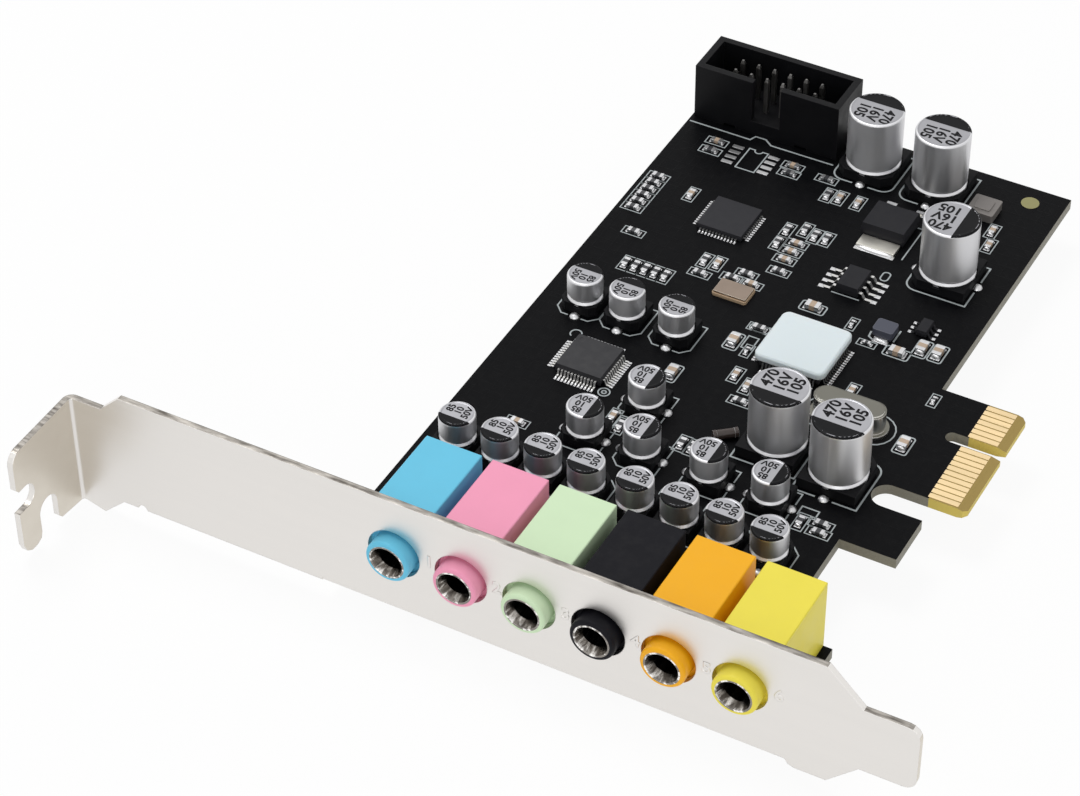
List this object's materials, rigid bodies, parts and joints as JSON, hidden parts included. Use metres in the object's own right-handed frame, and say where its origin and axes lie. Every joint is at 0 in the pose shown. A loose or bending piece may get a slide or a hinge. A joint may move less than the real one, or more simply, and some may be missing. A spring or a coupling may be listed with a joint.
{
  "type": "sound card",
  "caption": "Plug-in sound card: black circuit board with a row of coloured audio jacks on a metal slot bracket, a short edge connector, round capacitors, chips and a boxed pin header.",
  "frame": {"origin": "centre of the outline at the lowest point of the bracket, when the board lies level", "axes": "+X along the bracket from the screw flange to the tongue, the way the edge connector points; +Y from the bracket into the card; +Z out of the side that carries the parts"},
  "size_m": [0.12, 0.126, 0.0215],
  "materials": {
    "solder_mask": "black solder mask, satin gloss, with white printed outlines",
    "gold_plating": "gold plated copper, smooth",
    "tin_solder": "tin plating and solder, bright and slightly uneven",
    "nickel_sheet": "nickel plated steel sheet, fine rolled grain",
    "screw_steel": "zinc plated, satin",
    "header_plastic": "black moulded plastic, fine texture",
    "contact_metal": "plated contact strip, satin",
    "can_aluminium": "drawn aluminium, satin, black printed half moon",
    "cap_base_plastic": "black moulded plastic",
    "chip_epoxy": "dark grey moulded resin, fine matte grain",
    "lead_tin": "tin plated leads, satin",
    "thermal_silicone": "soft white silicone sheet, matte",
    "crystal_metal": "drawn nickel plated can, satin",
    "oscillator_ceramic": "tan ceramic, matte",
    "oscillator_bronze": "gold toned plated lid, satin",
    "ferrite": "dark pressed ferrite, matte",
    "choke_metal": "pinkish grey metal powder block, matte",
    "diode_glass": "dark coated glass between tinned ends",
    "resistor_ceramic": "black glaze over ceramic",
    "capacitor_ceramic": "tan ceramic, matte",
    "blue_plastic": "moulded blue plastic, satin gloss",
    "pink_plastic": "moulded pink plastic, satin gloss",
    "green_plastic": "moulded green plastic, satin gloss",
    "black_plastic": "moulded black plastic, satin gloss",
    "orange_plastic": "moulded orange plastic, satin gloss",
    "yellow_plastic": "moulded yellow plastic, satin gloss"
  },
  "bodies": {
    "root": {"board": "solder_mask", "edge_contacts_top": "gold_plating", "edge_contacts_bottom": "gold_plating", "bare_pads": "tin_solder", "solder_joints": "tin_solder", "bracket": "nickel_sheet", "bracket_screw": "screw_steel", "blue_jack_housing": "blue_plastic", "pink_jack_housing": "pink_plastic", "green_jack_housing": "green_plastic", "black_jack_housing": "black_plastic", "orange_jack_housing": "orange_plastic", "yellow_jack_housing": "yellow_plastic", "blue_jack_sleeve": "lead_tin", "pink_jack_sleeve": "lead_tin", "green_jack_sleeve": "lead_tin", "black_jack_sleeve": "lead_tin", "orange_jack_sleeve": "lead_tin", "yellow_jack_sleeve": "lead_tin", "blue_jack_contacts": "contact_metal", "pink_jack_contacts": "contact_metal", "green_jack_contacts": "contact_metal", "black_jack_contacts": "contact_metal", "orange_jack_contacts": "contact_metal", "yellow_jack_contacts": "contact_metal", "header_shroud": "header_plastic", "header_pins": "gold_plating", "large_cap_cans": "can_aluminium", "large_cap_bases": "cap_base_plastic", "large_cap_terminals": "tin_solder", "front_cap_cans": "can_aluminium", "front_cap_bases": "cap_base_plastic", "front_cap_terminals": "tin_solder", "middle_cap_cans": "can_aluminium", "middle_cap_bases": "cap_base_plastic", "middle_cap_terminals": "tin_solder", "rear_cap_cans": "can_aluminium", "rear_cap_bases": "cap_base_plastic", "rear_cap_terminals": "tin_solder", "codec_chip": "chip_epoxy", "codec_leads": "lead_tin", "converter_chip": "chip_epoxy", "converter_leads": "lead_tin", "controller_chip": "chip_epoxy", "controller_leads": "lead_tin", "thermal_pad": "thermal_silicone", "amplifier_chip": "chip_epoxy", "amplifier_leads": "lead_tin", "regulator_body": "chip_epoxy", "regulator_tab": "lead_tin", "crystal_can": "crystal_metal", "oscillator_base": "oscillator_ceramic", "oscillator_lid": "oscillator_bronze", "power_inductor": "ferrite", "switch_chip": "chip_epoxy", "choke": "choke_metal", "diode": "diode_glass", "chip_resistors": "resistor_ceramic", "chip_capacitors": "capacitor_ceramic", "chip_end_caps": "tin_solder"}
  },
  "joints": []
}
